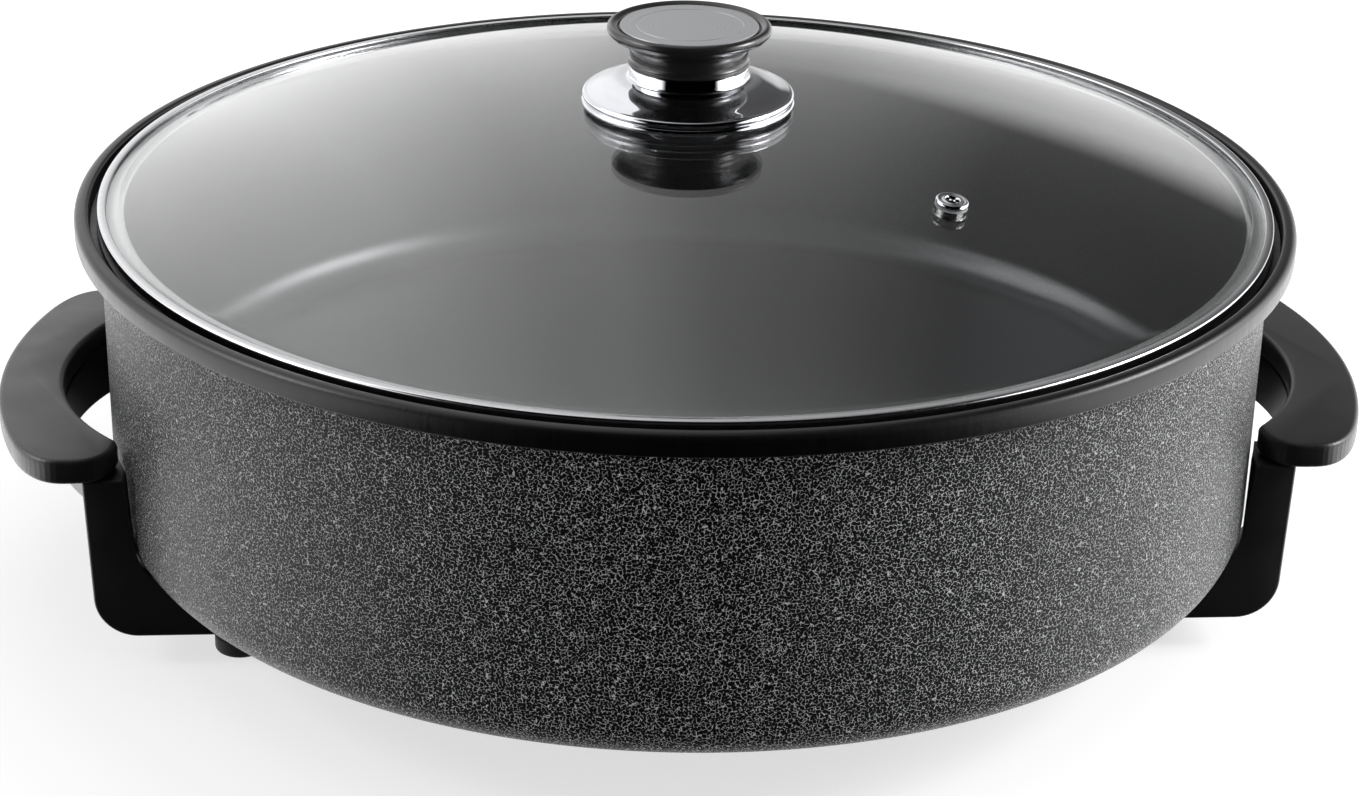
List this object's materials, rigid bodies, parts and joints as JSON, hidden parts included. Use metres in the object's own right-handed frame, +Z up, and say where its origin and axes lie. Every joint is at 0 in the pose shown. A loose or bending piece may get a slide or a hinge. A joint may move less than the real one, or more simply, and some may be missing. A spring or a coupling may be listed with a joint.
{
  "type": "electric pan",
  "caption": "Round deep electric pan on leg frames with side grips, a lift-off domed glass lid with a knob, and a socket for a thermostat plug.",
  "frame": {"origin": "on the table, under the middle of the pan", "axes": "+Z up, +X through the right grip and over the socket, -Y towards the viewer of the picture"},
  "size_m": [0.4248, 0.372, 0.1816],
  "materials": {
    "pan_coating": "dark hammered non-stick coating over cast aluminium",
    "black_phenolic": "matt black moulded phenolic",
    "gloss_phenolic": "gloss black moulded phenolic",
    "knob_disc": "satin spun inlay, bare",
    "chrome": "bright chrome plate",
    "steel": "bright stainless steel",
    "lid_glass": "clear tempered glass",
    "rubber": "matt black rubber",
    "silicone": "grey silicone",
    "ceramic": "unglazed white ceramic",
    "brass": "plain brass",
    "element_sheath": "dull oxidised sheath"
  },
  "bodies": {
    "pan": {"pan_body": "pan_coating", "heating_element": "element_sheath", "probe_tube": "steel", "socket_housing": "steel", "earth_contact": "brass", "terminal_bead_front": "ceramic", "terminal_pin_front": "steel", "socket_screw_front": "steel", "terminal_bead_rear": "ceramic", "terminal_pin_rear": "steel", "socket_screw_rear": "steel", "leg_frame_left": "black_phenolic", "handle_grip_left": "black_phenolic", "foot_left_front": "rubber", "leg_screw_left_front": "steel", "grip_screw_left_front": "steel", "foot_left_rear": "rubber", "leg_screw_left_rear": "steel", "grip_screw_left_rear": "steel", "leg_frame_right": "black_phenolic", "handle_grip_right": "black_phenolic", "foot_right_front": "rubber", "leg_screw_right_front": "steel", "grip_screw_right_front": "steel", "foot_right_rear": "rubber", "leg_screw_right_rear": "steel", "grip_screw_right_rear": "steel"},
    "lid": {"lid_glass": "lid_glass", "lid_ring": "steel", "knob_collar": "chrome", "knob_body": "gloss_phenolic", "knob_disc": "knob_disc", "knob_insert": "brass", "knob_gasket_upper": "silicone", "knob_gasket_lower": "silicone", "knob_washer": "steel", "knob_screw": "steel", "vent_eyelet": "chrome", "vent_washer": "silicone"}
  },
  "joints": [
    {"name": "lid_lift", "type": "slide", "parent": "pan", "child": "lid", "axis": [0, 0, 1], "range_m": [0, 0.16]}
  ]
}
